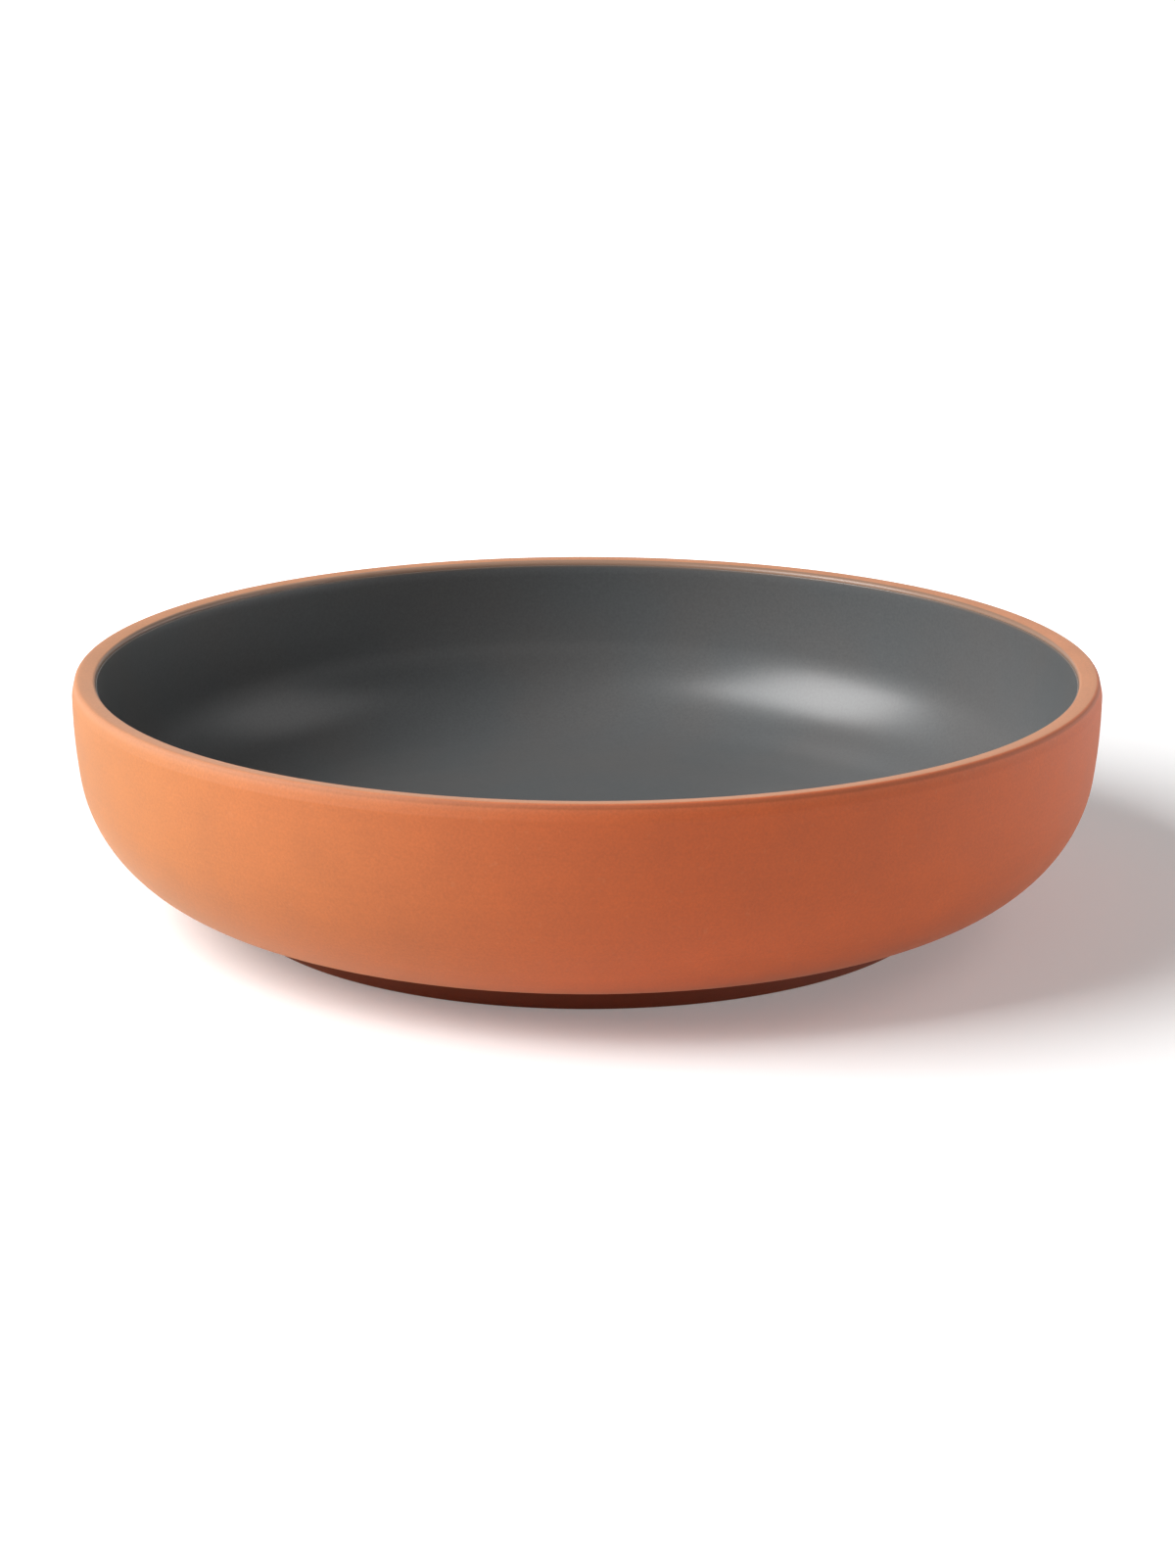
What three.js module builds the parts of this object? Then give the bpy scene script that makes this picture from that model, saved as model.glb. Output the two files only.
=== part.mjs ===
// Low serving bowl in fired terracotta: a clay body on a foot ring, lined with a coat of dark satin glaze.
// Millimetres, +Z up. The origin is the centre of the foot ring's underside, on the table.

import * as THREE from 'three';

// Driving dimensions: the outside.
const rimRadius = 150; // at the shoulder, where the wall stands plumb
const bowlHeight = 70.6;
const wallSweep = 166; // radius of the long arc that the wall follows up to the shoulder
const bellyRadius = 40; // where the wall turns under
const undersideRise = THREE.MathUtils.degToRad(9.7); // slope of the underside, from the foot outwards

// Driving dimensions: the wall and its lip.
const wallThickness = 6;
const lipRollIn = 1.9; // how far the outside leans in over the shoulder
const lipRollDrop = 5.2; // height from the lip's top down to the shoulder
const lipInnerRound = 0.8;
const floorBlend = 100; // eases the flat floor of the well into its rising side

// Driving dimensions: the foot ring.
const footSetback = 45; // from the rim's radius in to the foot's outside
const footHeight = 7.1;
const footRingWidth = 9;
const footEdgeRound = 1;
const footNeckRound = 2; // where the foot runs into the underside
const recessDepth = 5.6; // bare hollow inside the foot ring
const recessRound = 3;

// Driving dimensions: the glaze.
const glazeThickness = 0.5;
const glazeReveal = 0.3; // bare clay left between the lip's inner rounding and the glaze
const bondGap = 0.3; // clearance between the clay and the back of the glaze

const chordTolerance = 0.12; // how far a facet may stray from the true curve

// Roundings are limited by the walls that they run along.
const lipRoll = Math.min(lipRollIn, wallThickness / 2);
const lipRound = Math.min(lipInnerRound, wallThickness - lipRoll, lipRollDrop);
const footEdge = Math.min(footEdgeRound, footRingWidth / 2, footHeight / 2);
const neckRound = Math.min(footNeckRound, footHeight - footEdge);
const recessCorner = Math.min(recessRound, recessDepth - footEdge);

// Places in the half section, as (radius, height).
const shoulderHeight = bowlHeight - lipRollDrop;
const footRadius = rimRadius - footSetback;
const recessRadius = footRadius - footRingWidth;
const glazeBack = wallThickness + bondGap;
const glazeFace = glazeBack + glazeThickness;
const wallCentre = new THREE.Vector2(rimRadius - wallSweep, shoulderHeight);
const footTop = new THREE.Vector2(footRadius, footHeight);
const alongUnderside = new THREE.Vector2(Math.cos(undersideRise), Math.sin(undersideRise));
const offUnderside = new THREE.Vector2(-Math.sin(undersideRise), Math.cos(undersideRise));

// The neck takes up the first stretch of the underside, and the belly starts no nearer to the foot.
const neckRun = neckRound * Math.tan((Math.PI / 2 - undersideRise) / 2);
const neckEnd = footTop.clone().addScaledVector(alongUnderside, neckRun);

// The largest belly that ends at the shoulder, or that starts at the neck.
function largestBelly() {
	const rise = shoulderHeight - footHeight;
	const toShoulder = (rise * alongUnderside.x - footSetback * alongUnderside.y) / (1 - alongUnderside.y);
	const reach = neckEnd.clone().sub(wallCentre);
	const toNeck = (wallSweep ** 2 - reach.lengthSq()) / (2 * (wallSweep + reach.dot(offUnderside)));
	return Math.min(toShoulder, toNeck);
}

// The belly is a fillet between the underside's line and the wall's arc: its centre lies one belly
// radius off the line, and inside the wall's arc by the same amount.
const belly = Math.min(bellyRadius, largestBelly());
const bellyCentre = footTop.clone().addScaledVector(offUnderside, belly);
const bellyReach = bellyCentre.clone().sub(wallCentre);
const bellySlide = bellyReach.dot(alongUnderside);
const bellySlack = bellyReach.lengthSq() - (wallSweep - belly) ** 2;
const undersideRun = Math.sqrt(bellySlide ** 2 - bellySlack) - bellySlide;
bellyCentre.addScaledVector(alongUnderside, undersideRun);
const wallTurn = Math.atan2(wallCentre.y - bellyCentre.y, bellyCentre.x - wallCentre.x);

// The well's floor bends up over the foot, one wall's thickness off the underside. The blend takes up
// no more of the rising side than lies between the foot and the belly.
const bend = Math.tan(undersideRise / 2);
const blendRadius = Math.min(floorBlend, undersideRun / bend);
const floorCorner = footTop.clone().addScaledVector(offUnderside, wallThickness);
const blendCentre = new THREE.Vector2(floorCorner.x - blendRadius * bend, floorCorner.y + blendRadius);

function facetsFor(radius, angle) {
	const widestFacet = 2 * Math.acos(1 - chordTolerance / radius);
	return Math.max(2, Math.ceil(Math.abs(angle) / widestFacet));
}

function ellipse(x, y, radiusX, radiusY, from, to) {
	const curve = new THREE.EllipseCurve(x, y, radiusX, radiusY, from, to, to < from);
	return curve.getPoints(facetsFor(Math.max(radiusX, radiusY), to - from));
}

function arc(centre, radius, from, to) {
	return ellipse(centre.x, centre.y, radius, radius, from, to);
}

// Runs stretches of outline together and drops the points that neighbours share.
function outline(...stretches) {
	const points = stretches.flat();
	return points.filter((point, i) => i === 0 || point.distanceTo(points[i - 1]) > 1e-6);
}

// The belly and wall at a given depth in from the outside, rising from the underside to topHeight.
function side(inset, topHeight) {
	const wallRadius = wallSweep - inset;
	const wallTop = Math.min(topHeight, shoulderHeight);
	const wallEnd = Math.asin((wallTop - shoulderHeight) / wallRadius);
	const plumb = topHeight > shoulderHeight ? [new THREE.Vector2(rimRadius - inset, topHeight)] : [];
	return outline(
		arc(bellyCentre, belly - inset, undersideRise - Math.PI / 2, -wallTurn),
		arc(wallCentre, wallRadius, -wallTurn, wallEnd),
		plumb,
	);
}

// The inside of the bowl at a given depth in from the outside: the flat floor from the axis out, the
// blend into the rising side, the belly and the wall.
function well(inset, topHeight) {
	const blend = blendRadius - (inset - wallThickness);
	return outline(
		[new THREE.Vector2(0, blendCentre.y - blend)],
		arc(blendCentre, blend, -Math.PI / 2, undersideRise - Math.PI / 2),
		side(inset, topHeight),
	);
}

// The hollow under the bowl and the ring round it, from the axis out to the underside.
function foot() {
	const neckCentre = neckEnd.clone().addScaledVector(offUnderside, -neckRound);
	return outline(
		[new THREE.Vector2(0, recessDepth)],
		ellipse(recessRadius - recessCorner, recessDepth - recessCorner, recessCorner, recessCorner, Math.PI / 2, 0),
		ellipse(recessRadius + footEdge, footEdge, footEdge, footEdge, Math.PI, Math.PI * 1.5),
		ellipse(footRadius - footEdge, footEdge, footEdge, footEdge, -Math.PI / 2, 0),
		arc(neckCentre, neckRound, Math.PI, Math.PI / 2 + undersideRise),
	);
}

// The lip, from the shoulder over the top to the clay's inner wall.
function lip() {
	const inside = rimRadius - wallThickness;
	return outline(
		ellipse(rimRadius - lipRoll, shoulderHeight, lipRoll, lipRollDrop, 0, Math.PI / 2),
		ellipse(inside + lipRound, bowlHeight - lipRound, lipRound, lipRound, Math.PI / 2, Math.PI),
	);
}

// The glaze's upper edge, rounded from the top of its back down to the top of its face.
function glazeEdge(backTop, faceTop) {
	return ellipse(backTop.x, faceTop.y, backTop.x - faceTop.x, backTop.y - faceTop.y, Math.PI / 2, Math.PI);
}

// Turns a half section about the bowl's axis and stands the axis up along Z.
function turned(name, halfSection, material) {
	const facets = 4 * facetsFor(rimRadius, Math.PI / 2);
	const geometry = new THREE.LatheGeometry(halfSection, facets);
	geometry.rotateX(Math.PI / 2);
	const mesh = new THREE.Mesh(geometry, material);
	mesh.name = name;
	return mesh;
}

function clayBody() {
	const terracotta = new THREE.MeshStandardMaterial({ color: 0xc8744a, roughness: 0.88, metalness: 0 });
	const inside = well(wallThickness, bowlHeight - lipRound).reverse();
	return turned('clay_body', outline(foot(), side(0, shoulderHeight), lip(), inside), terracotta);
}

function glazeLining() {
	const satinGlaze = new THREE.MeshStandardMaterial({ color: 0x5d5e5e, roughness: 0.32, metalness: 0 });
	const topHeight = bowlHeight - lipRound - glazeReveal;
	const back = well(glazeBack, topHeight);
	const face = well(glazeFace, topHeight - glazeThickness).reverse();
	const edge = glazeEdge(back.at(-1), face[0]);
	return turned('glaze_lining', outline(back, edge, face), satinGlaze);
}

const servingBowl = new THREE.Group();
servingBowl.add(clayBody(), glazeLining());

export default servingBowl;
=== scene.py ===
# %% [markdown]
# A low serving bowl in bare terracotta, lined with a dark satin glaze. The solids that come with the
# frame are faceted, so this lesson turns both pieces again as smooth bodies, in the same place and at
# the same size, and then gives the clay and the glaze their finish, a studio and a camera.

# %% Load the solids
import math

import bmesh
import bpy
from mathutils import Matrix, Vector


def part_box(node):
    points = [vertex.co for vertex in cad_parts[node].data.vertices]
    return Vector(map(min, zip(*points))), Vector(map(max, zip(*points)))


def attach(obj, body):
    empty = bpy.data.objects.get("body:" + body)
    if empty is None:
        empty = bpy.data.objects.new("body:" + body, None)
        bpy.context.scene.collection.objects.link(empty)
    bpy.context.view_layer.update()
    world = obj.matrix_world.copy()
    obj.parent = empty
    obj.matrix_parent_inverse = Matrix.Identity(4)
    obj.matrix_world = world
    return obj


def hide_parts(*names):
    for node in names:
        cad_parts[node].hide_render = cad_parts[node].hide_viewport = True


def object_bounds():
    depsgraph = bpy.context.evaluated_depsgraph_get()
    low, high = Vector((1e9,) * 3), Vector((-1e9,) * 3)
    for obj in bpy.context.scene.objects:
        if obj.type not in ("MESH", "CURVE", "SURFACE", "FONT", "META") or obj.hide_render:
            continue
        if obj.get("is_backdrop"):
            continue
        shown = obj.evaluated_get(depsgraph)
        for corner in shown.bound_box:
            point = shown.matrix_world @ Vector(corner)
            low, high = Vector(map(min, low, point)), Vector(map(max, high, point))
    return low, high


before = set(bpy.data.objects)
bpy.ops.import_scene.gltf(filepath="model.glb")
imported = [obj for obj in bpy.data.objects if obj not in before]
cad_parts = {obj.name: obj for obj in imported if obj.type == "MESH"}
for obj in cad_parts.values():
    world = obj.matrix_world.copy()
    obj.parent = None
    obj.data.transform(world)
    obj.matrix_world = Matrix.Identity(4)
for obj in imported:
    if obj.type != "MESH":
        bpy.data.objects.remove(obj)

MM = 0.001
cad_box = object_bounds()
cad_corners = [round(v / MM, 1) for v in (*cad_box[0], *cad_box[1])]
print("solids:", sorted(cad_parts), "box", cad_corners, "mm")

# %% [markdown]
# A bowl is a body of revolution, so its whole shape lies in one half section. That section could be a
# list of points, but a potter thinks of it as a few long curves that run into each other. So the pen
# below draws as a turtle does: straight on, or round a bend of a given radius. Each bend is a spin of
# the last vertex, which keeps the curves truly round and tangent to their neighbours.

# %% A pen for half sections
CHORD_TOLERANCE = 0.01 * MM
FEWEST_BEND_STEPS = 4
UPWARDS, INWARDS, DOWNWARDS = (math.radians(a) for a in (90, 180, 270))


def bend_steps(radius, angle):
    """Edges that a bend needs to stay within the chord tolerance."""
    widest = 2 * math.acos(1 - CHORD_TOLERANCE / radius)
    return max(FEWEST_BEND_STEPS, math.ceil(abs(angle) / widest))


class SectionPen:
    """Draws a run of a half section from a vertex: x is the distance from the axis, z the height."""

    def __init__(self, wire, start, heading):
        self.wire = wire
        self.tip = start
        self.heading = heading

    def straight(self, length):
        self.tip = bmesh.ops.extrude_vert_indiv(self.wire, verts=[self.tip])["verts"][0]
        ahead = Vector((math.cos(self.heading), 0, math.sin(self.heading)))
        bmesh.ops.translate(self.wire, verts=[self.tip], vec=ahead * length)

    def distance_to(self, x=None, z=None):
        """How far ahead the pen meets the line at that distance from the axis, or at that height."""
        if x is not None:
            return (x - self.tip.co.x) / math.cos(self.heading)
        return (z - self.tip.co.z) / math.sin(self.heading)

    def run_to(self, pieces=1, **line):
        length = self.distance_to(**line)
        for _ in range(pieces):
            self.straight(length / pieces)

    def bend(self, radius, angle):
        """Turns right by angle on that radius, or left where the angle is negative."""
        aside = Vector((math.sin(self.heading), 0, -math.cos(self.heading)))
        centre = self.tip.co + aside * math.copysign(radius, angle)
        sweep = {"cent": centre, "axis": (0, 1, 0), "angle": angle, "steps": bend_steps(radius, angle)}
        swept = bmesh.ops.spin(self.wire, geom=[self.tip], **sweep)
        self.tip = next(e for e in swept["geom_last"] if isinstance(e, bmesh.types.BMVert))
        self.heading -= angle

    def round_onto(self, radius, heading, **line):
        """Runs up to a line, rounds the corner onto it and leaves along it."""
        turn = math.remainder(self.heading - heading, math.tau)
        self.straight(self.distance_to(**line) - radius * math.tan(abs(turn) / 2))
        self.bend(radius, turn)
        self.heading = heading


print("bends keep within", CHORD_TOLERANCE / MM, "mm of the true curve")

# %% [markdown]
# The inside of the bowl runs parallel to the outside, one wall in. The clay's inner face and both faces
# of the glaze follow the same curves at different depths, so one function draws them all. The radius and
# the height are measured on the solid. The rest are the potter's own sizes: the long sweep of the wall up
# to its shoulder, the belly that turns under, and the flat floor that blends into the rising side.

# %% The side at any depth
clay_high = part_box("clay_body")[1]
rim_radius = clay_high.x
bowl_height = clay_high.z
WALL_THICKNESS = 6.8 * MM
SHOULDER_DROP = 5.2 * MM
WALL_SWEEP = 166 * MM
WALL_TURN = math.radians(7.78)
BELLY_RADIUS = 40 * MM
UNDERSIDE_RISE = math.radians(9.7)
FLOOR_HEIGHT = 13.8 * MM
FLOOR_BLEND = 100 * MM
FLOOR_RINGS = 8
shoulder_height = bowl_height - SHOULDER_DROP
belly_turn = math.pi / 2 - WALL_TURN - UNDERSIDE_RISE


def draw_inside(pen, inset):
    """From a plumb stretch under the lip down the wall, round the belly and over the floor to the axis."""
    pen.run_to(z=shoulder_height)
    pen.bend(WALL_SWEEP - inset, WALL_TURN)
    pen.bend(BELLY_RADIUS - inset, belly_turn)
    above_clay = inset - WALL_THICKNESS
    pen.round_onto(FLOOR_BLEND - above_clay, INWARDS, z=FLOOR_HEIGHT + above_clay)
    pen.run_to(pieces=FLOOR_RINGS, x=0)


print("clay: radius", round(rim_radius / MM, 2), "height", round(bowl_height / MM, 2), "mm")

# %% [markdown]
# A wheel turns the section into a body, and here a full spin does the same. It merges its end with its
# start, which closes the seam. The points on the axis fall together, so they are merged too, and only
# then are the normals made to point outwards.

# %% The wheel
TURN_STEPS = 256
MERGE_DISTANCE = 0.001 * MM


def turn_on_wheel(wire, name):
    """Spins a closed half section once round the axis and makes it a smooth piece."""
    one_turn = {"cent": (0, 0, 0), "axis": (0, 0, 1), "angle": math.tau, "steps": TURN_STEPS}
    bmesh.ops.spin(wire, geom=wire.verts[:] + wire.edges[:], use_merge=True, **one_turn)
    bmesh.ops.remove_doubles(wire, verts=wire.verts, dist=MERGE_DISTANCE)
    bmesh.ops.recalc_face_normals(wire, faces=wire.faces)
    mesh = bpy.data.meshes.new(name)
    wire.to_mesh(mesh)
    wire.free()
    mesh.shade_smooth()
    piece = bpy.data.objects.new(name, mesh)
    bpy.context.scene.collection.objects.link(piece)
    print(name, len(mesh.vertices), "vertices", len(mesh.polygons), "faces")
    return piece


# %% [markdown]
# The clay body is one closed section. Two runs leave the shoulder, the widest place under the lip: one
# goes down the wall, round the belly and under to the foot, the other goes up over the lip and down into
# the well. The lip was trimmed with a tool: above a soft crease its outside leans in, and its top slopes
# down towards the well. Such small forms could be painted, but only true ones catch the light all round.

# %% The clay body
SHOULDER_PLUMB = 0.5 * MM
SHOULDER_ROUND = 3.5 * MM
LIP_LEAN = math.radians(13)
LIP_EDGE_ROUND = 1.3 * MM
LIP_SLOPE = math.radians(8)
LIP_CREST_ROUND = 8 * MM
LIP_INNER_ROUND = 1.2 * MM
FOOT_SETBACK = 45 * MM
FOOT_RING_WIDTH = 9 * MM
FOOT_EDGE_ROUND = 1 * MM
FOOT_NECK_ROUND = 2 * MM
RECESS_DEPTH = 5.6 * MM
RECESS_ROUND = 3 * MM
foot_radius = rim_radius - FOOT_SETBACK


def make_clay_body():
    wire = bmesh.new()
    shoulder = wire.verts.new((rim_radius, 0, shoulder_height))
    outside = SectionPen(wire, shoulder, DOWNWARDS)
    outside.bend(WALL_SWEEP, WALL_TURN)
    outside.bend(BELLY_RADIUS, belly_turn)
    outside.round_onto(FOOT_NECK_ROUND, DOWNWARDS, x=foot_radius)
    outside.round_onto(FOOT_EDGE_ROUND, INWARDS, z=0)
    outside.round_onto(FOOT_EDGE_ROUND, UPWARDS, x=foot_radius - FOOT_RING_WIDTH)
    outside.round_onto(RECESS_ROUND, INWARDS, z=RECESS_DEPTH)
    outside.run_to(pieces=FLOOR_RINGS, x=0)
    over_lip = SectionPen(wire, shoulder, UPWARDS)
    over_lip.straight(SHOULDER_PLUMB)
    over_lip.bend(SHOULDER_ROUND, -LIP_LEAN)
    over_lip.round_onto(LIP_EDGE_ROUND, INWARDS, z=bowl_height)
    over_lip.bend(LIP_CREST_ROUND, -LIP_SLOPE)
    over_lip.round_onto(LIP_INNER_ROUND, DOWNWARDS, x=rim_radius - WALL_THICKNESS)
    draw_inside(over_lip, WALL_THICKNESS)
    return turn_on_wheel(wire, "terracotta_body")


clay = make_clay_body()

# %% [markdown]
# The glaze is a coat about a third of a millimetre thick. On the real bowl it is melted onto the clay and
# stops at a wiped line under the lip, where its edge is drawn round by surface tension. A separate thin
# shell, just clear of the clay, gives that edge a true thickness that catches the light.

# %% The glaze lining
GLAZE_THICKNESS = 0.38 * MM
GLAZE_SEAT = 0.01 * MM
GLAZE_EDGE_ROUND = 0.3 * MM
GLAZE_LINE_DROP = 1.75 * MM


def make_glaze_lining():
    wire = bmesh.new()
    back = WALL_THICKNESS + GLAZE_SEAT
    face = back + GLAZE_THICKNESS
    glaze_line = wire.verts.new((rim_radius - back, 0, bowl_height - GLAZE_LINE_DROP))
    over_edge = SectionPen(wire, glaze_line, INWARDS)
    over_edge.round_onto(GLAZE_EDGE_ROUND, DOWNWARDS, x=rim_radius - face)
    draw_inside(over_edge, face)
    behind = SectionPen(wire, glaze_line, DOWNWARDS)
    draw_inside(behind, back)
    return turn_on_wheel(wire, "satin_glaze_lining")


glaze = make_glaze_lining()

# %% [markdown]
# Each new piece takes the place of the faceted solid that it was turned from. It rides on the same body
# and hides that solid in the picture.

# %% Join the frame
for piece, node, slot in ((clay, "clay_body", "terracotta"), (glaze, "glaze_lining", "satin_glaze")):
    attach(piece, "root")
    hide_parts(node)
    print(piece.name, "replaces", node)

# %% [markdown]
# A finish is a net of nodes. Written out one by one, the sums in it are hard to read, so a small class
# stands for any value on the surface, and arithmetic on it adds the Math nodes. Every other node comes
# from one method, which takes its type, its settings and what goes into its sockets.

# %% Values on a surface
class Shade:
    """One output of a node. Arithmetic on it adds Math nodes to the same net."""

    def __init__(self, net, socket):
        self.net = net
        self.socket = socket

    def sibling(self, name):
        """Another output of the same node."""
        return Shade(self.net, self.socket.node.outputs[name])

    def maths(self, operation, first, second):
        return self.net.node("Math", {"operation": operation}, {0: first, 1: second})

    def __add__(self, other):
        return self.maths("ADD", self, other)

    def __radd__(self, other):
        return self.maths("ADD", other, self)

    def __sub__(self, other):
        return self.maths("SUBTRACT", self, other)

    def __rsub__(self, other):
        return self.maths("SUBTRACT", other, self)

    def __mul__(self, other):
        return self.maths("MULTIPLY", self, other)

    def __rmul__(self, other):
        return self.maths("MULTIPLY", other, self)

    def __pow__(self, other):
        return self.maths("POWER", self, other)


# %% A net of nodes
# A Mix node has sockets for every type of data. These are the places of the ones for colours.
MIX_SHARE = 0
MIX_FIRST = 6
MIX_SECOND = 7
MIX_RESULT = 2


class NodeNet:
    """The nodes of a material or of the world."""

    def __init__(self, owner):
        owner.use_nodes = True
        self.owner = owner
        self.tree = owner.node_tree
        self.tree.nodes.clear()

    def node(self, kind, settings, sockets, output=0):
        """Adds a node, sets its settings, gives its sockets values or links, and returns an output."""
        made = self.tree.nodes.new("ShaderNode" + kind)
        for name, value in settings.items():
            setattr(made, name, value)
        for name, value in sockets.items():
            if isinstance(value, Shade):
                self.tree.links.new(value.socket, made.inputs[name])
            else:
                made.inputs[name].default_value = value
        return Shade(self, made.outputs[output]) if made.outputs else None

    def noise(self, where, scale, detail):
        return self.node("TexNoise", {}, {"Vector": where, "Scale": scale, "Detail": detail}, "Fac")

    def ease(self, value, start, end):
        """0 at start, 1 at end, and a smooth step between them."""
        sockets = {"Value": value, "From Min": start, "From Max": end}
        return self.node("MapRange", {"interpolation_type": "SMOOTHSTEP"}, sockets)

    def mix(self, share, first, second):
        """A colour between two others."""
        sockets = {MIX_SHARE: share, MIX_FIRST: first, MIX_SECOND: second}
        return self.node("Mix", {"data_type": "RGBA"}, sockets, MIX_RESULT)

    def scaled(self, colour, factor):
        """A colour or a place, each of its channels times a factor."""
        return self.node("VectorMath", {"operation": "SCALE"}, {0: colour, "Scale": factor})

    def seen(self):
        """1 for rays that show a thing, direct or mirrored, and 0 for rays that light with it."""
        camera_ray = self.node("LightPath", {}, {}, "Is Camera Ray")
        shown = camera_ray + camera_ray.sibling("Is Glossy Ray") + camera_ray.sibling("Is Transmission Ray")
        return self.node("Clamp", {}, {"Value": shown})

    def report(self):
        print(self.owner.name, "has", len(self.tree.nodes), "nodes")
        return self.owner


def principled(net, sockets):
    """Ends a material's net in one surface shader."""
    shader = net.node("BsdfPrincipled", {}, sockets)
    net.node("OutputMaterial", {}, {"Surface": shader})
    return net.report()


# %% [markdown]
# Patterns and worn places belong to the bowl, so a finish reads where a point lies on it: its object
# coordinates, how far it is from the axis and how far below the rim. A UV map could tell that too, but a
# turned body has no need of one. The marks found there are kept by name, and a finish adds up shares of
# them: so much of the grain in the tone, so much in the roughness, so much in the relief.

# %% Where a point lies
class Place:
    """Where a point of the surface lies on the bowl."""

    def __init__(self, net):
        self.where = net.node("TexCoord", {}, {}, "Object")
        self.across = net.node("SeparateXYZ", {}, {"Vector": self.where}, "X")
        self.depth = self.across.sibling("Y")
        self.height = self.across.sibling("Z")

    def radius(self):
        """The distance from the axis."""
        return (self.across * self.across + self.depth * self.depth) ** 0.5

    def below_rim(self):
        return bowl_height - self.height


def summed(marks, base, shares):
    """A base value, plus a share of each mark that is named."""
    total = base
    for name, share in shares.items():
        total = total + share * marks[name]
    return total


# %% [markdown]
# Bare terracotta is an open, sandy clay. Up close it shows a fine grain, a few dark and pale specks of
# crushed pot, and faint lines that run round where the wheel turned under the tool. From a step away it
# shows soft clouds. The flank that faces the key lamp is painted a little more orange and less red, a
# painted tint for how that lit side looks. A photograph of clay could give the clay's own marks, but
# noises at the real sizes of those marks hold up at any distance.

# %% Marks all over the clay
CLOUDS_PER_METRE = 14
MOTTLES_PER_METRE = 75
GRAINS_PER_METRE = 1500
DARK_SPECKS_PER_METRE = 620
DARK_SPECK_EDGE = (0.69, 0.75)
PALE_SPECKS_PER_METRE = 540
PALE_SPECK_EDGE = (0.70, 0.76)
LINES_PER_METRE = 750
LINE_DRIFT_PER_METRE = 9
# Painted light: the flank that faces the key lamp is tinted more orange and less red, for how that lit side
# looks.
LIT_FLANK_REACH = (40 * MM, -155 * MM)
LIT_FLANK_WOBBLE = 25 * MM
NOISE_MIDDLE = 0.5


def turning_lines(net, place, radius):
    """Lines round the axis: their place along the section changes fast, and round the bowl slowly."""
    slow = net.scaled(place.where, LINE_DRIFT_PER_METRE)
    slow_x = net.node("SeparateXYZ", {}, {"Vector": slow}, "X")
    along_section = (radius + place.height) * LINES_PER_METRE
    stretched = net.node("CombineXYZ", {}, {"X": slow_x, "Y": slow_x.sibling("Y"), "Z": along_section})
    return net.noise(stretched, scale=1, detail=3)


def marks_all_over(net, place, radius):
    """The clay's own marks, and the painted tint of the lit flank. The pale specks read a mirrored place,
    to fall apart from the dark ones.
    """
    clouds = net.noise(place.where, CLOUDS_PER_METRE, detail=3)
    dark = net.noise(place.where, DARK_SPECKS_PER_METRE, detail=1)
    pale = net.noise(net.scaled(place.where, -1), PALE_SPECKS_PER_METRE, detail=1)
    return {
        "clouds": clouds,
        "mottle": net.noise(place.where, MOTTLES_PER_METRE, detail=3),
        "grain": net.noise(place.where, GRAINS_PER_METRE, detail=2),
        "lines": turning_lines(net, place, radius),
        "dark_specks": net.ease(dark, *DARK_SPECK_EDGE),
        "pale_specks": net.ease(pale, *PALE_SPECK_EDGE),
        "lit_flank": net.ease(place.across + LIT_FLANK_WOBBLE * (clouds - NOISE_MIDDLE), *LIT_FLANK_REACH),
    }


for marks_per_metre in (CLOUDS_PER_METRE, MOTTLES_PER_METRE, GRAINS_PER_METRE):
    print("marks of about", round(1 / (marks_per_metre * MM), 1), "mm")

# %% [markdown]
# Some places of the clay differ from the rest. The lip is rubbed smooth and pale. A trimming tool left a
# thin groove along its outer edge, and the groove's shade is painted in as a dark line, which fades on
# the lit flank. The side of the foot is painted dark, a painted shade for the shade under the belly. The
# ring that stands on the table is worn, and a wiped film of glaze, a little off centre, stains the lip's
# inner edge. Each place is a mask, made of smooth steps. A step is given as where it starts and where it
# is complete.

# %% Marks on the lip and the foot
LIP_DOWN = (9 * MM, 6 * MM)
LIP_TOP_IN = (1.4 * MM, 2 * MM)
LIP_ROLL_DOWN = (3.2 * MM, 0.6 * MM)
LIP_FACET_DOWN = (4.7 * MM, 4 * MM)
# The tool line is a small groove in the relief and a painted shade in the colour, which fades on the lit
# flank.
GROOVE_SHADE_BOTTOM_DOWN = (1.65 * MM, 1 * MM)
GROOVE_SHADE_TOP_DOWN = (0.1 * MM, 0.45 * MM)
GROOVE_SHADE_IN = (3 * MM, 2 * MM)
GROOVE_SHADE_FADE = 0.8
# Painted shade: the side of the foot, under the belly, is darkened in the colour.
FOOT_SHADE_UP = (9 * MM, 6 * MM)
FOOT_SHADE_FROM = (-1.2 * MM, 0)
FOOT_SHADE_TO = (6 * MM, 2 * MM)
STANDING_RING_UP = (0.6 * MM, 0.1 * MM)
GLAZE_FILM_IN = (6.1 * MM, 6.8 * MM)
WIPE_OFFSET = 1.5 * MM


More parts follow.
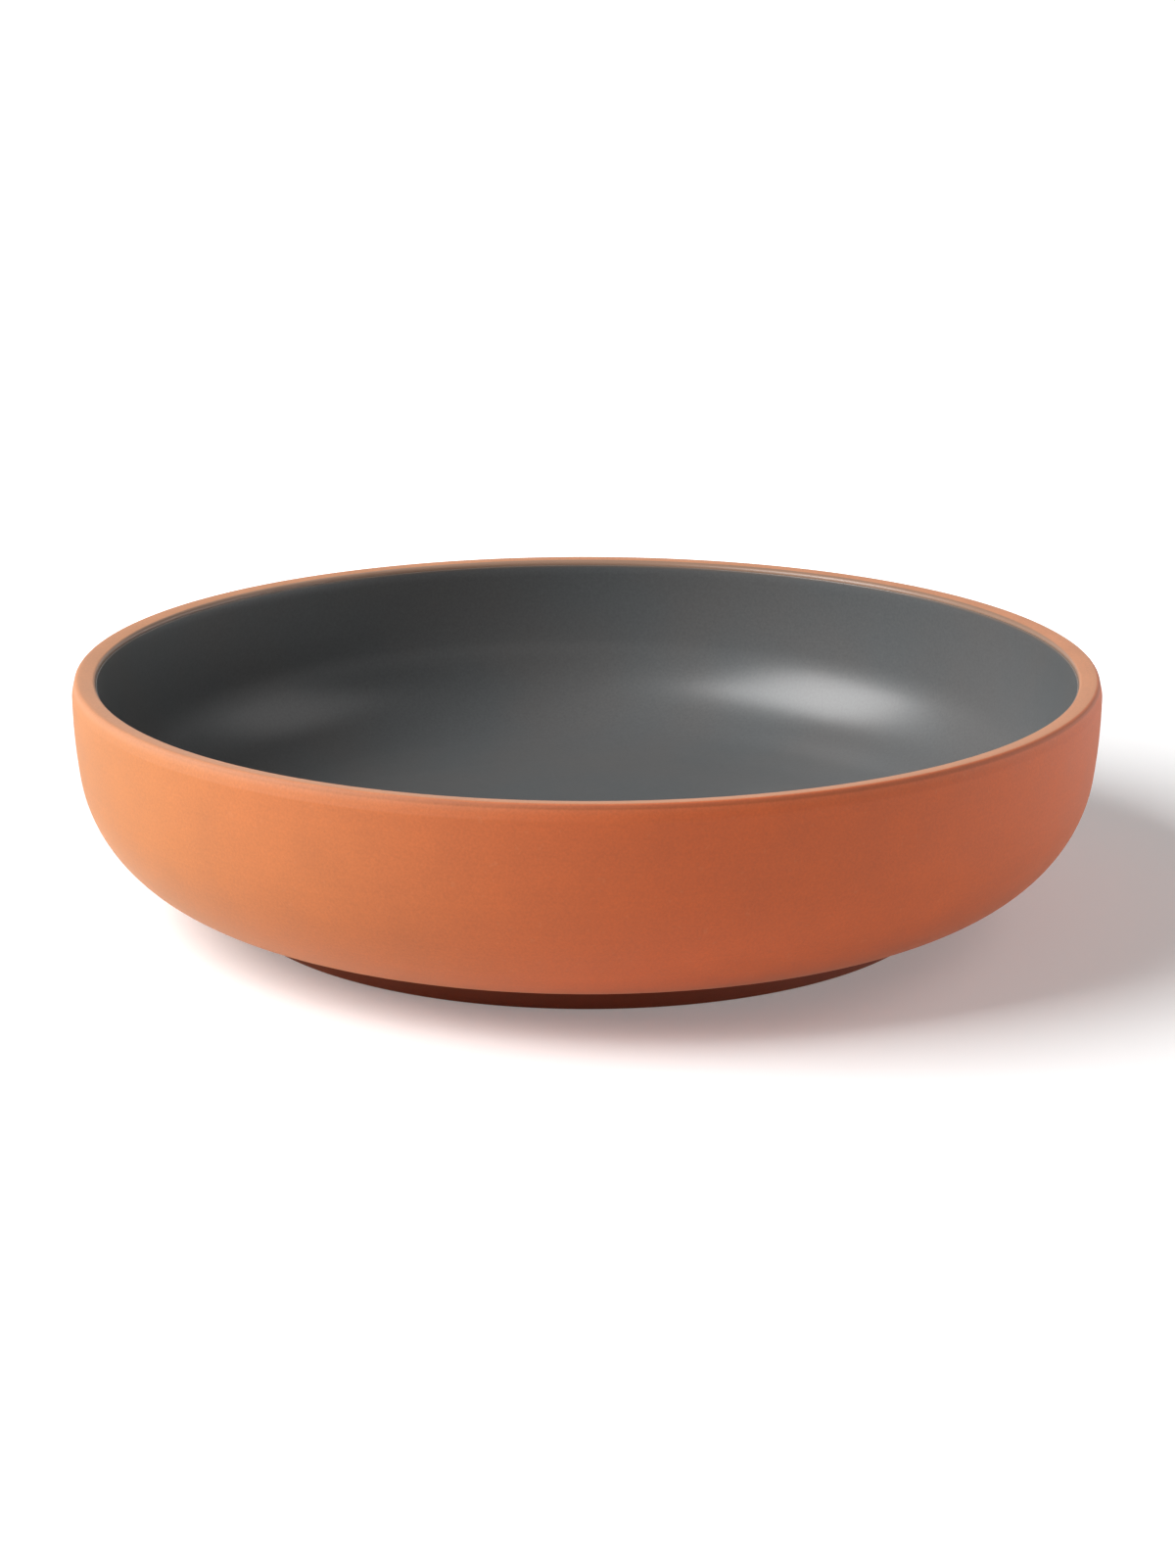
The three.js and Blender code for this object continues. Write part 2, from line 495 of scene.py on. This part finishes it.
def wear_and_painted_light_marks(net, place, radius, lit_flank):
    """Masks by how far a point is below the rim, in from the side, up from the table and off the foot."""
    down = place.below_rim()
    inwards = rim_radius - radius
    off_foot = radius - foot_radius
    near_lip = net.ease(down, *LIP_DOWN)
    tool_groove_and_shade = net.ease(down, *GROOVE_SHADE_BOTTOM_DOWN) * net.ease(down, *GROOVE_SHADE_TOP_DOWN)
    # The painted shade of the groove fades on the lit flank, where the key lamp fills it.
    tool_groove_and_shade = tool_groove_and_shade * net.ease(inwards, *GROOVE_SHADE_IN) * (1 - GROOVE_SHADE_FADE * lit_flank)
    foot_painted_shade = net.ease(off_foot, *FOOT_SHADE_FROM) * net.ease(off_foot, *FOOT_SHADE_TO)
    wiped = inwards + (WIPE_OFFSET / rim_radius) * place.depth
    return {
        "lip_top": near_lip * net.ease(inwards, *LIP_TOP_IN),
        "lip_roll": net.ease(down, *LIP_ROLL_DOWN),
        "lip_facet": net.ease(down, *LIP_FACET_DOWN),
        "tool_groove_and_shade": tool_groove_and_shade,
        "foot_painted_shade": foot_painted_shade * net.ease(place.height, *FOOT_SHADE_UP),
        "standing_ring": net.ease(place.height, *STANDING_RING_UP),
        "glaze_film": near_lip * net.ease(wiped, *GLAZE_FILM_IN),
    }


groove_shade_width = GROOVE_SHADE_BOTTOM_DOWN[1] - GROOVE_SHADE_TOP_DOWN[1]
print("the tool line is", round(groove_shade_width / MM, 2), "mm wide where it is darkest")

# %% [markdown]
# The finish of the clay adds these up. Its ground runs from red to the painted orange of the lit flank,
# the lip's pale clay is laid over it, with a painted highlight on the lip roll of the lit flank, and the
# noises make it lighter and darker. The tints then follow one another, each over the last; the tool line
# and the foot side among them are painted shade. A little sheen stands for the dust of dry clay, which
# brightens the edges of the form.

# %% Bare terracotta
# The orange is the painted tint of the lit flank, where the key lamp falls.
LIT_FLANK_ORANGE = (0.49, 0.174, 0.049, 1)
CLAY_RED = (0.57, 0.108, 0.025, 1)
LIP_CLAY = (0.583, 0.27, 0.15, 1)
CLAY_WORN = (0.62, 0.34, 0.21, 1)
# Painted shade on the side of the foot.
CLAY_SHADED = (0.17, 0.030, 0.008, 1)
GROG_DARK = (0.27, 0.075, 0.035, 1)
GROG_PALE = (0.74, 0.36, 0.19, 1)
GLAZE_STAIN = (0.27, 0.178, 0.128, 1)
BLACK = (0, 0, 0, 1)
PALE_ON_RED_FLANK = {"lip_roll": 0.1, "lip_top": 0.8}
# On the lit flank the lip roll and facet are paler: a painted highlight, besides the lip's own pale top.
PALE_ON_LIT_FLANK = {"lip_roll": 0.45, "lip_facet": 0.15, "lip_top": 0.2}
CLAY_TONE = 0.65
CLAY_TONE_SHARES = {"clouds": 0.12, "mottle": 0.20, "grain": 0.32, "lines": 0.07}
CLAY_TINTS = (
    ("dark_specks", 0.08, GROG_DARK),
    ("pale_specks", 0.05, GROG_PALE),
    # Painted shade: the tool groove is darkened towards black in the colour.
    ("tool_groove_and_shade", 0.25, BLACK),
    # Painted shade on the side of the foot, under the belly.
    ("foot_painted_shade", 0.85, CLAY_SHADED),
    ("standing_ring", 0.45, CLAY_WORN),
    ("glaze_film", 0.85, GLAZE_STAIN),
)
CLAY_ROUGHNESS = 0.62
CLAY_ROUGHNESS_SHARES = {"mottle": 0.10, "grain": 0.06, "lip_top": -0.15, "glaze_film": -0.2}
CLAY_RELIEF_SHARES = {"grain": 0.6, "lines": 0.3, "dark_specks": -0.2, "tool_groove_and_shade": -0.6}
CLAY_BUMP = {"Strength": 0.35, "Distance": 0.06 * MM}
CLAY_DUST = {"Sheen Weight": 0.2, "Sheen Roughness": 0.45, "Sheen Tint": (1, 0.78, 0.6, 1)}


def make_terracotta():
    net = NodeNet(bpy.data.materials.new("bare_terracotta"))
    place = Place(net)
    radius = place.radius()
    marks = marks_all_over(net, place, radius)
    lit_flank = marks["lit_flank"]
    marks.update(wear_and_painted_light_marks(net, place, radius, lit_flank))
    on_red = summed(marks, 0, PALE_ON_RED_FLANK)
    on_lit_flank = summed(marks, 0, PALE_ON_LIT_FLANK)
    colour = net.mix(lit_flank, CLAY_RED, LIT_FLANK_ORANGE)
    # The lip's pale clay, with a painted highlight on the roll of the lit flank.
    colour = net.mix(on_red + lit_flank * (on_lit_flank - on_red), colour, LIP_CLAY)
    colour = net.scaled(colour, summed(marks, CLAY_TONE, CLAY_TONE_SHARES))
    for name, share, tint in CLAY_TINTS:
        colour = net.mix(share * marks[name], colour, tint)
    roughness = summed(marks, CLAY_ROUGHNESS, CLAY_ROUGHNESS_SHARES)
    bump = net.node("Bump", {}, {**CLAY_BUMP, "Height": summed(marks, 0, CLAY_RELIEF_SHARES)})
    return principled(net, {"Base Color": colour, "Roughness": roughness, "Normal": bump, **CLAY_DUST})


clay.data.materials.append(make_terracotta())

# %% [markdown]
# The glaze is a satin one: it isn't clear glass but glass full of fine crystals, so a lamp shows in it as
# a soft patch and not as a sharp picture. Roughness near a third gives that patch its width. The colour
# is a dark grey with slow, faint clouds towards blue, and it thins to brown at its upper edge.

# %% Satin glaze
GLAZE_GREY = (0.114, 0.113, 0.112, 1)
GLAZE_COOL = (0.107, 0.112, 0.114, 1)
GLAZE_THIN = (0.18, 0.13, 0.10, 1)
GLAZE_CLOUDS_PER_METRE = 22
GLAZE_CLOUD_EDGE = (0.35, 0.65)
CRYSTALS_PER_METRE = 1300
THIN_EDGE_DOWN = (GLAZE_LINE_DROP + 1 * MM, GLAZE_LINE_DROP)
THIN_EDGE_SHARE = 0.75
GLAZE_TONE = 0.82
GLAZE_TONE_SHARES = {"crystals": 0.36}
GLAZE_ROUGHNESS = 0.29
GLAZE_ROUGHNESS_SHARES = {"clouds": 0.05, "crystals": 0.03}
GLAZE_BUMP = {"Strength": 0.08, "Distance": 0.02 * MM}


def make_satin_glaze():
    net = NodeNet(bpy.data.materials.new("satin_grey_glaze"))
    place = Place(net)
    clouds = net.noise(place.where, GLAZE_CLOUDS_PER_METRE, detail=3)
    crystals = net.noise(place.where, CRYSTALS_PER_METRE, detail=2)
    marks = {"clouds": clouds, "crystals": crystals}
    colour = net.mix(net.ease(clouds, *GLAZE_CLOUD_EDGE), GLAZE_GREY, GLAZE_COOL)
    colour = net.scaled(colour, summed(marks, GLAZE_TONE, GLAZE_TONE_SHARES))
    thin_edge = net.ease(place.below_rim(), *THIN_EDGE_DOWN)
    colour = net.mix(THIN_EDGE_SHARE * thin_edge, colour, GLAZE_THIN)
    roughness = summed(marks, GLAZE_ROUGHNESS, GLAZE_ROUGHNESS_SHARES)
    bump = net.node("Bump", {}, {**GLAZE_BUMP, "Height": crystals})
    return principled(net, {"Base Color": colour, "Roughness": roughness, "Normal": bump})


glaze.data.materials.append(make_satin_glaze())

# %% [markdown]
# The bowl stands on a wide white table. Near the bowl the table shows little by itself, so that the shadow
# stays. Further off it shows as white, for rays that see it but not for rays that carry its light, and so
# the background turns white with no more light on the bowl.

# %% White table
TABLE_RADIUS = 30
TABLE_SEGMENTS = 96
TABLE_PAINT = {"Base Color": (0.85, 0.85, 0.85, 1), "Roughness": 0.9, "Specular IOR Level": 0.2}
WHITE_REACH = (0.2, 0.6)
NEAR_GLOW = 0.2
WHITE = (1, 1, 1, 1)


def make_table():
    disc = bmesh.new()
    bmesh.ops.create_circle(disc, cap_ends=True, segments=TABLE_SEGMENTS, radius=TABLE_RADIUS)
    mesh = bpy.data.meshes.new("white_table")
    disc.to_mesh(mesh)
    disc.free()
    table = bpy.data.objects.new("white_table", mesh)
    bpy.context.scene.collection.objects.link(table)
    table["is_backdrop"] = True
    return table


def make_table_paint():
    net = NodeNet(bpy.data.materials.new("white_table_paint"))
    far = net.ease(Place(net).radius(), *WHITE_REACH)
    shown = (NEAR_GLOW + (1 - NEAR_GLOW) * far) * net.seen()
    glow = net.mix(shown, BLACK, WHITE)
    return principled(net, {**TABLE_PAINT, "Emission Color": glow, "Emission Strength": 1.0})


table = make_table()
table.data.materials.append(make_table_paint())

# %% [markdown]
# One large softbox on the left does most of the work: it models the side of the bowl from light to dark
# and lies as a soft patch in the glaze. On the right, a small softbox lays a second, weak patch in the
# glaze, and a low strip keeps that side of the clay from going black.

# %% Softboxes
def softbox(name, azimuth, elevation, distance, width, height, power):
    """A lamp that faces the bowl. Azimuth 0 is the camera's side, and 90 is on the right."""
    lamp = bpy.data.lights.new(name, "AREA")
    lamp.shape = "RECTANGLE"
    lamp.size = width
    lamp.size_y = height
    lamp.energy = power
    box = bpy.data.objects.new(name, lamp)
    around = math.radians(azimuth)
    rise = math.radians(elevation)
    out = Vector((math.cos(rise) * math.sin(around), -math.cos(rise) * math.cos(around), math.sin(rise)))
    box.location = Vector((0, 0, bowl_height / 2)) + out * distance
    box.rotation_euler = (-out).to_track_quat("-Z", "Y").to_euler()
    box.visible_camera = False
    bpy.context.scene.collection.objects.link(box)
    print(name, "at", [round(c, 2) for c in box.location], "m,", power, "W")


softbox("key_softbox", azimuth=-75, elevation=39.8, distance=2.6, width=1.84, height=1.84, power=110)
softbox("right_softbox", azimuth=100, elevation=36, distance=1.5, width=0.9, height=0.9, power=3.2)
softbox("right_strip", azimuth=100, elevation=3.7, distance=1.5, width=2.4, height=0.19, power=7.6)

# %% [markdown]
# The rest of the studio is a dim grey room. A pale backdrop all round would be the usual way to a white
# background, but it would light the bowl from every side. So the white band round the horizon is only
# there for rays that see it, as the table's is.

# %% Room
ROOM_GREY = (0.115, 0.115, 0.115, 1)
BAND_TOP = math.radians(22)
BAND_FULL = math.radians(8)


def make_room():
    net = NodeNet(bpy.data.worlds.new("studio_room"))
    direction = net.node("TexCoord", {}, {}, "Generated")
    upwards = net.node("SeparateXYZ", {}, {"Vector": direction}, "Z")
    band = net.ease(upwards, math.sin(BAND_TOP), math.sin(BAND_FULL))
    colour = net.mix(band * net.seen(), ROOM_GREY, WHITE)
    background = net.node("Background", {}, {"Color": colour, "Strength": 1.0})
    net.node("OutputWorld", {}, {"Surface": background})
    return net.report()


bpy.context.scene.world = make_room()

# %% [markdown]
# The camera stands a metre from the middle of the rim and a little above it. A short lens close by would
# make the near lip swell, so it has a long lens, in which the near and far sides keep nearly one size.

# %% Camera
CAMERA_DISTANCE = 1.0
CAMERA_RISE = math.radians(13.875)
CAMERA_PITCH = math.radians(15.918)
CAMERA_ROLL = math.radians(0.073)
CAMERA_SIDE = 0.15 * MM
LENS_LENGTH = 78.11
SENSOR_SIDE = 36

lens = bpy.data.cameras.new("photo_view")
lens.lens = LENS_LENGTH
lens.sensor_width = SENSOR_SIDE
camera = bpy.data.objects.new("photo_view", lens)
camera_height = bowl_height + CAMERA_DISTANCE * math.sin(CAMERA_RISE)
camera.location = (CAMERA_SIDE, -CAMERA_DISTANCE * math.cos(CAMERA_RISE), camera_height)
pitch = Matrix.Rotation(math.pi / 2 - CAMERA_PITCH, 3, "X")
camera.rotation_euler = (pitch @ Matrix.Rotation(CAMERA_ROLL, 3, "Z")).to_euler()
bpy.context.scene.collection.objects.link(camera)
bpy.context.scene.camera = camera
bpy.context.scene.view_settings.view_transform = "Standard"
print("camera at", [round(c, 3) for c in camera.location], "m")

# %% [markdown]
# Last, the dressed bowl is measured beside the solids, and the sides of both boxes are printed.

# %% Sizes of the solids and of the dressed bowl
visual_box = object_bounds()
boxes = {"cad": [list(c) for c in cad_box], "visual": [list(c) for c in visual_box]}
for name, (low, high) in boxes.items():
    print(name, "sides", [round((end - start) / MM, 2) for start, end in zip(low, high)], "mm")
